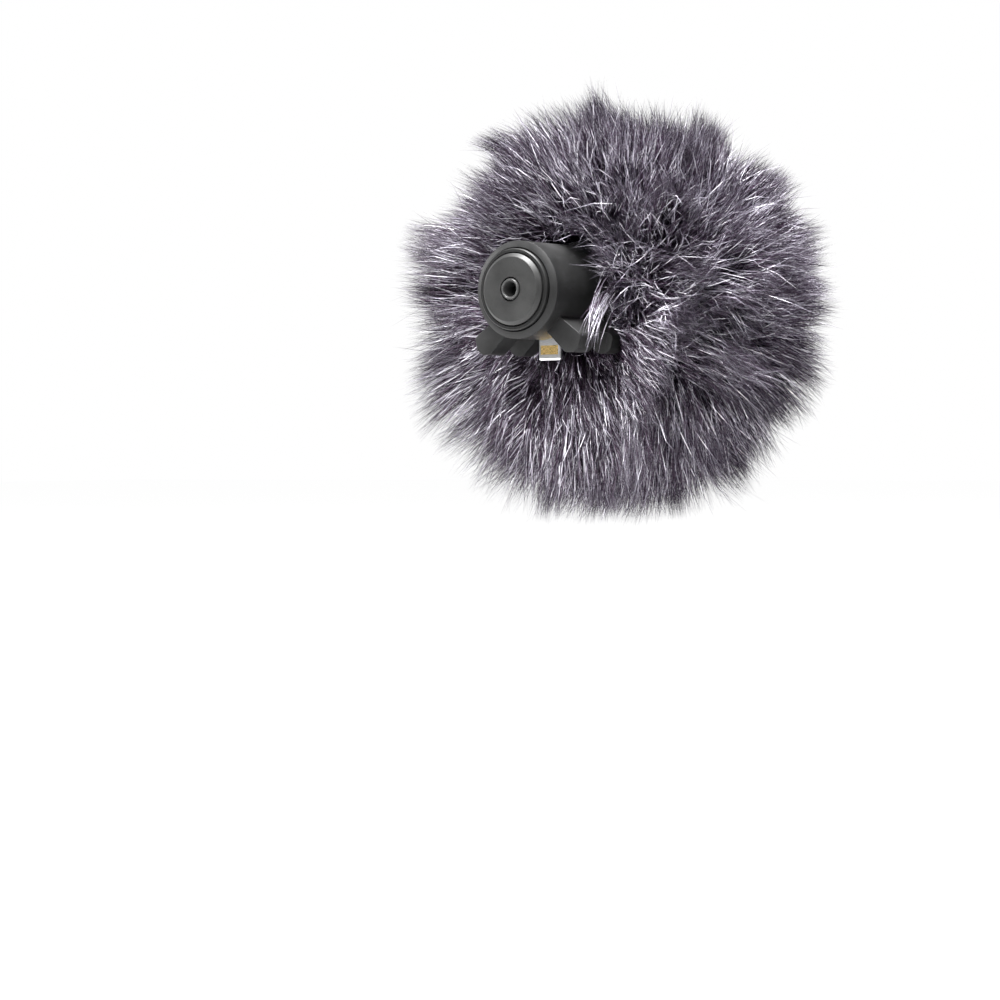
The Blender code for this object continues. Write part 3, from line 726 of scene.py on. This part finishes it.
def sample_t(count, rng):
    """Parameters spread so that the tips cover the outside evenly, with some more near the mouth."""
    grid = np.linspace(0, 1, 400)
    tip, root = outline_at(TIP_LINE, grid), outline_at(ROOT_LINE, grid)
    step_tip = np.linalg.norm(np.gradient(tip, axis=0), axis=1)
    step_root = np.linalg.norm(np.gradient(root, axis=0), axis=1)
    weight = tip[:, 0] * step_tip + 1.2 * root[:, 0] * step_root
    total = np.cumsum(weight)
    return np.interp(rng.random(count), total / total[-1], grid)


class Waves:
    """A smooth random field in space, a sum of plane waves."""

    def __init__(self, rng, count, shortest, longest):
        direction = rng.normal(size=(count, 3))
        direction /= np.linalg.norm(direction, axis=1)[:, None]
        length = rng.uniform(shortest, longest, count)
        self.wave = direction * (2 * np.pi / length)[:, None]
        self.phase = rng.uniform(0, 2 * np.pi, count)
        self.gain = math.sqrt(2 / count)

    def __call__(self, points):
        return self.gain * np.sin(points @ self.wave.T + self.phase).sum(axis=1)


def sideways(vectors, outward):
    """The part of each vector that lies square to its fibre."""
    return vectors - (vectors * outward).sum(1)[:, None] * outward


def unit(vectors):
    return vectors / np.maximum(np.linalg.norm(vectors, axis=-1), 1e-9)[..., None]


def smooth_step(value, low, high):
    share = np.clip((value - low) / (high - low), 0, 1)
    return share * share * (3 - 2 * share)


def curves(start, handle, end):
    """Points along one quadratic curve for each row of start, handle and end."""
    s = ALONG
    return (1 - s) ** 2 * start[:, None] + 2 * s * (1 - s) * handle[:, None] + s**2 * end[:, None]


def keep_clear(points, rng):
    """Moves fibre points in front of the phone's space and of the clip's legs, and off its collar."""
    free = -30  # farther back than any fibre
    phone_front, legs_front = 4.9, 9.4
    collar_r = 12.5
    x, y, z = points[..., 0], points[..., 1], points[..., 2]
    ripple = rng.uniform(0, 1.5, len(points))[:, None]
    phone = np.minimum(1 - smooth_step(z, -1.5, 6), 1 - smooth_step(np.abs(x), 34, 44))
    y[:] = np.maximum(y, free + (phone_front - free + ripple) * phone)
    legs = (1 - smooth_step(np.abs(x), 16, 22)) * (1 - smooth_step(z, 4, 9))
    y[:] = np.maximum(y, free + (legs_front - free + ripple) * legs)
    height = z - AXIS_HEIGHT
    out = np.hypot(x, height)
    near = collar_r + 0.3 * ripple
    inside = (out < near) & (y < CLIP_END + 0.4)
    scale = np.where(inside, near / np.maximum(out, 1), 1)
    x *= scale
    z[:] = AXIS_HEIGHT + height * scale


def excess(past, room):
    """How much to take back from a distance past a limit, so that less than the room is left of it."""
    past = np.maximum(past, 0)
    return past - room * (1 - np.exp(-past / room))


def ease_in(points):
    """Draws the farthest tips in, so that no stray hair leaves the fur's own size."""
    side, front, bottom = 55, 86, -45
    x, y, z = points[..., 0], points[..., 1], points[..., 2]
    x -= np.sign(x) * excess(np.abs(x) - side, 6)
    y -= excess(y - front, 4)
    z += excess(bottom - z, 6)


def make_fibres(rng):
    """Points (fibre, step, xyz), widths, tones, and where each root sits."""
    total = BODY_FIBRES + GUARD_FIBRES + UNDER_FIBRES
    kind = np.repeat((BODY, GUARD, UNDER), (BODY_FIBRES, GUARD_FIBRES, UNDER_FIBRES))
    guard = kind == GUARD
    kind[guard & (rng.random(total) < WILD_SHARE)] = WILD

    def by_kind(values):
        return np.array(values)[kind]

    # tufts hold clumps, clumps hold fibres
    tuft_t, tuft_angle = sample_t(TUFTS, rng), rng.uniform(0, 2 * np.pi, TUFTS)
    tuft_tip = around(outline_at(TIP_LINE, tuft_t), tuft_angle)
    clump_t, clump_angle = sample_t(CLUMPS, rng), rng.uniform(0, 2 * np.pi, CLUMPS)
    clump_tip = around(outline_at(TIP_LINE, clump_t), clump_angle)
    gap = np.linalg.norm(clump_tip[:, None] - tuft_tip[None], axis=2)
    tuft_of = gap.argmin(axis=1)
    edge_of_tuft = np.clip(gap.min(axis=1) / TUFT_R, 0, 1) ** 2
    tuft_lean = rng.normal(0, 1, (TUFTS, 3))
    tuft_length = rng.normal(1, 0.08, TUFTS)
    clump_lean = rng.normal(0, 1, (CLUMPS, 3))
    clump_pull = rng.uniform(0.1, 0.5, CLUMPS)
    clump_length = rng.normal(1, 0.03, CLUMPS) * (1.03 - 0.13 * edge_of_tuft)
    clump_tone = rng.normal(0, 1, CLUMPS)

    # a fibre's root lies near its clump's middle, and its tip is pulled closer to it
    owner = rng.integers(0, CLUMPS, total)
    tuft = tuft_of[owner]
    clump_root = outline_at(ROOT_LINE, clump_t)[owner]
    offset_t = rng.normal(0, 0.017, total)
    offset_angle = rng.normal(0, 1.1, total) / np.maximum(clump_root[:, 0], 3.0)
    guard_pull = rng.uniform(0.4, 1.5, total)
    pull = np.where(guard, guard_pull, clump_pull[owner] * rng.uniform(0.7, 1.3, total))
    root_t = np.clip(clump_t[owner] + offset_t, 0, 1)
    root_angle = clump_angle[owner] + offset_angle
    root = around(outline_at(ROOT_LINE, root_t), root_angle)
    tip_t = np.clip(clump_t[owner] + offset_t * pull, 0, 1)
    tip = around(outline_at(TIP_LINE, tip_t), clump_angle[owner] + offset_angle * pull)

    length = tuft_length[tuft] * clump_length[owner] * (1 - 0.16 * rng.random(total) ** 1.8)
    length = np.where(guard, length * rng.uniform(0.72, 1.08, total), length)
    length = np.where(kind == WILD, length * rng.uniform(0.7, 0.98, total), length)
    length = np.where(kind == UNDER, rng.uniform(0.35, 0.8, total), length)
    length = np.minimum(length * (1 + 0.03 * Waves(rng, 26, 15, 36)(tip)), LONGEST)
    tip = root + (tip - root) * length[:, None]

    # partings and whorls: neighbours lean together, guard hairs stray on their own, and all of them sag
    outward = tip - root
    reach = np.linalg.norm(outward, axis=1)[:, None]
    outward = outward / reach
    size = reach / FULL_LENGTH
    field = np.stack([Waves(rng, 22, 16, 42)(tip) for _ in range(3)], axis=1)
    stray = rng.normal(0, 1, (total, 3)) * by_kind(STRAY)[:, None]
    lean = 3.4 * field + 3.0 * tuft_lean[tuft] + 1.6 * clump_lean[owner] + stray
    tip = tip + sideways(lean, outward) * size
    tip[:, 2] -= 3.4 * size[:, 0] ** 2
    tip += sideways((tuft_tip[tuft] - tip) * 0.34, outward)

    # a fibre leaves the skin squarely, then bends towards its tip
    ahead, behind = (outline_at(ROOT_LINE, np.clip(root_t + step, 0, 1)) for step in (0.01, -0.01))
    run = ahead - behind
    square = turned(unit(np.stack([-run[:, 1], run[:, 0]], axis=1)), root_angle)
    bend = rng.normal(0, 1, (total, 3)) * by_kind(BEND)[:, None]
    handle = root + 0.5 * reach * (0.4 * square + 0.6 * outward) + sideways(bend, outward) * size
    points = curves(root, handle, tip)
    curl = rng.normal(0, 1, (total, 1, 3)) * by_kind(CURL)[:, None, None]
    points = points + curl * np.sin(2 * np.pi * ALONG) * ALONG
    flick = rng.normal(0, 1, (total, 3)) * by_kind(FLICK)[:, None]
    points = points + sideways(flick, outward)[:, None] * ALONG**4
    keep_clear(points, rng)
    ease_in(points)

    width = by_kind(LEAST_WIDTH) + by_kind(MORE_WIDTH) * rng.random(total)
    tone = 0.25 * clump_tone[owner] + rng.normal(0, 1, total) * 0.95 + by_kind(LIGHTER)
    return points, width, tone, root_t, root_angle


def loose_hairs(places, loose, count, rng):
    """Hairs that start round the first place, bend round the second and end round the third.

    loose says how far they spread at each of the three.
    """
    ends = [np.array(at) + rng.normal(0, 1, (count, 3)) * amount for at, amount in zip(places, loose)]
    return curves(*ends)


def loose_wisps(rng):
    """The wisp over the outside of the right leg, and crossed hairs at the right of the mouth."""
    over_leg = ((20, 8, 14), (19.5, -8.0, 10.5), (17.4, -8.0, -2.8))
    upper = ((24, 11, 18), (27, 3, 21), (24, -3.0, 18))
    lower = ((27, 12, 8), (32, 1, 10), (29, -4.5, 8))
    groups = [
        loose_hairs(over_leg, (3.2, (2.0, 1.9, 3.0), (1.7, 1.4, 2.6)), 46, rng),
        loose_hairs(upper, (5.0, 4.0, 5.0), 60, rng),
        loose_hairs(lower, (5.0, 4.6, 5.6), 50, rng),
    ]
    points = np.concatenate(groups)
    return points, rng.uniform(0.12, 0.18, len(points)), rng.normal(1.15, 0.8, len(points))


# A fibre's tone puts it in one of four families, and each family has a colour for each zone, root to tip
TONE_EDGES = (-0.6, 0.5, 1.5)
DARK = (
    (0.002, 0.001, 0.002),
    (0.003, 0.0015, 0.0035),
    (0.006, 0.0035, 0.007),
    (0.010, 0.0065, 0.012),
    (0.014, 0.010, 0.016),
)
PLUM = (
    (0.003, 0.001, 0.003),
    (0.007, 0.003, 0.007),
    (0.021, 0.011, 0.022),
    (0.070, 0.046, 0.072),
    (0.045, 0.034, 0.050),
)
GREY = (
    (0.003, 0.002, 0.004),
    (0.014, 0.007, 0.015),
    (0.10, 0.080, 0.11),
    (0.38, 0.355, 0.415),
    (0.13, 0.118, 0.145),
)
SILVER = (
    (0.004, 0.002, 0.005),
    (0.030, 0.024, 0.035),
    (0.29, 0.27, 0.32),
    (0.78, 0.76, 0.82),
    (0.27, 0.255, 0.30),
)


def fibre_materials():
    """A material for each zone of each family, in the order that strand_mesh counts them."""
    made = []
    for family, zones in enumerate((DARK, PLUM, GREY, SILVER)):
        for zone, colour in enumerate(zones):
            surface, nodes, links, shader = new_material(f"fibre_{family}_{zone}", colour, 0.38, 0, 0.16)
            along = noise(nodes, links, object_coordinates(nodes), 900, 2)
            links.new(spread(nodes, links, along, 0.2, 0.8), shader.inputs["Diffuse Roughness"])
            made.append(surface)
    return made


def strand_mesh(name, points, width, tone, rng):
    """Thin ribbons along the fibres; a face's material follows its fibre's tone and its place along it."""
    count, rows = points.shape[0], points.shape[1]
    direction = unit(np.gradient(points, axis=1))
    across = unit(np.cross(direction, rng.normal(size=(count, 1, 3))))
    s = np.linspace(0, 1, rows)
    half = width[:, None, None] * 0.5 * (1 - s**5)[None, :, None]
    left, right = points - across * half, points + across * half
    per = 2 * (rows - 1) + 1  # points of a ribbon: two at each row, and one at the tip
    verts = np.empty((count, per, 3))
    verts[:, 0 : per - 1 : 2] = left[:, :-1]
    verts[:, 1 : per - 1 : 2] = right[:, :-1]
    verts[:, per - 1] = points[:, -1]
    base = (np.arange(count) * per)[:, None]
    quads = np.concatenate([[2 * k, 2 * k + 1, 2 * k + 3, 2 * k + 2] for k in range(rows - 2)])
    corners = np.concatenate([quads, [per - 3, per - 2, per - 1]])
    sizes = np.tile([4] * (rows - 2) + [3], count)
    mesh = bpy.data.meshes.new(name)
    mesh.vertices.add(count * per)
    mesh.vertices.foreach_set("co", (verts * MM).astype(np.float32).reshape(-1))
    mesh.loops.add(count * len(corners))
    mesh.loops.foreach_set("vertex_index", (base + corners).astype(np.int32).reshape(-1))
    mesh.polygons.add(len(sizes))
    mesh.polygons.foreach_set("loop_start", (np.cumsum(sizes) - sizes).astype(np.int32))
    family = np.digitize(tone, TONE_EDGES)
    slot_index = family[:, None] * ZONES + np.array(ZONE_OF_STEP)[None, :]
    mesh.polygons.foreach_set("material_index", slot_index.astype(np.int32).reshape(-1))
    mesh.update(calc_edges=True)
    mesh.shade_smooth()
    return mesh


def build_fur():
    """The pile in eight pieces: the front and the back of each of the four sewn panels."""
    points, width, tone, root_t, root_angle = make_fibres(RNG)
    wisps = loose_wisps(RNG)
    surfaces = fibre_materials()
    quarter = np.floor((root_angle - math.pi / 4) / (math.pi / 2)).astype(int) % 4
    for index, side in enumerate(("top", "left", "bottom", "right")):
        for half, chosen in (("front", root_t < FRONT_END), ("back", root_t >= FRONT_END)):
            pick = (quarter == index) & chosen
            fibres = [points[pick], width[pick], tone[pick]]
            if (side, half) == ("right", "back"):
                fibres = [np.concatenate(pair) for pair in zip(fibres, wisps)]
            mesh = strand_mesh(f"pile_{side}_{half}", *fibres, RNG)
            for surface in surfaces:
                mesh.materials.append(surface)
            add_piece(mesh.name, mesh, None, "windscreen", [f"fur_panel_{side}"])


# ---------------------------------------------------------------- the rest of the CAD nodes
def dress_nodes():
    slots = {entry["node"]: entry["material_slot"] for entry in frame["record"]["subparts"]}
    for name, node in frame["nodes"].items():
        surface = NODE_MATERIALS.get(name) or SLOT_MATERIALS.get(slots.get(name))
        if surface is None:
            continue
        for place in node.material_slots:
            place.link = "OBJECT"
            place.material = surface


# ---------------------------------------------------------------- stage
FLOOR_Z = -146 * MM  # level of the lower end of a phone that the part is plugged into
LIT_PLACE = Vector((0, 25 * MM, 5 * MM))  # what the lights are aimed at


def area_light(name, place, size, power):
    light = bpy.data.lights.new(name, "AREA")
    light.shape = "DISK"
    light.size = size
    light.energy = power
    made = add_object(name, light)
    made.location = place
    made.rotation_euler = (LIT_PLACE - Vector(place)).to_track_quat("-Z", "Y").to_euler()


def camera_level(nodes, links, lit, seen):
    """A strength that is lit where it lights the part and seen where the camera looks at it."""
    ray = nodes.new("ShaderNodeLightPath")
    return spread(nodes, links, ray.outputs["Is Camera Ray"], lit, seen)


def build_stage():
    """Floor and surroundings that the camera sees as white, and a strong light from above."""
    work = bmesh.new()
    bmesh.ops.create_grid(work, x_segments=1, y_segments=1, size=8)
    mesh = new_mesh("floor", work)
    floor = add_object("floor", mesh)
    floor.location = (0, 0, FLOOR_Z)
    surface, nodes, links, shader = new_material("floor_paper", grey(0.5), 0.9, 0, 0.1)
    mottle = noise(nodes, links, object_coordinates(nodes), 6)
    shade = ramp(nodes, links, mottle, ((0.3, grey(0.49)), (0.7, grey(0.51))))
    links.new(shade, shader.inputs["Base Color"])
    shader.inputs["Emission Color"].default_value = (1, 1, 1, 1)
    links.new(camera_level(nodes, links, 0, 0.9), shader.inputs["Emission Strength"])
    mesh.materials.append(surface)

    world = bpy.data.worlds.new("studio")
    bpy.context.scene.world = world
    world.use_nodes = True
    nodes, links = world.node_tree.nodes, world.node_tree.links
    links.new(camera_level(nodes, links, 0.17, 1.0), nodes["Background"].inputs["Strength"])
    nodes["Background"].inputs["Color"].default_value = (1, 1, 1, 1)

    area_light("top", (0.05, -0.08, 0.95), size=0.42, power=92)
    area_light("key", (0.14, -0.78, 0.62), size=0.45, power=15)
    area_light("side", (-0.9, -0.35, 0.3), size=0.5, power=9)
    bpy.context.scene.view_settings.view_transform = "Standard"


def build_camera():
    """The photograph's viewing angle: 36.3 degrees round from the back, just above level."""
    azimuth, elevation, roll = (math.radians(v) for v in (36.3, 1.07, -0.40))
    distance = 0.6681
    target = Vector((-16.14 * MM, 0, -41.74 * MM))
    level = math.cos(elevation)
    back = Vector((math.sin(azimuth) * level, -math.cos(azimuth) * level, math.sin(elevation)))
    right = Vector((math.cos(azimuth), math.sin(azimuth), 0))
    up = back.cross(right)
    across = right * math.cos(roll) + up * math.sin(roll)
    upward = up * math.cos(roll) - right * math.sin(roll)
    data = bpy.data.cameras.new("camera")
    data.sensor_width = 36
    data.lens = 94.525
    data.clip_start = 0.01
    made = add_object("camera", data)
    turn = Matrix((across, upward, back)).transposed().to_4x4()
    made.matrix_world = Matrix.Translation(target + back * distance) @ turn
    bpy.context.scene.camera = made


build_tube()
build_grille()
build_rear()
build_clip()
build_cuff()
build_liner()
build_skin()
build_fur()
dress_nodes()
build_stage()
build_camera()
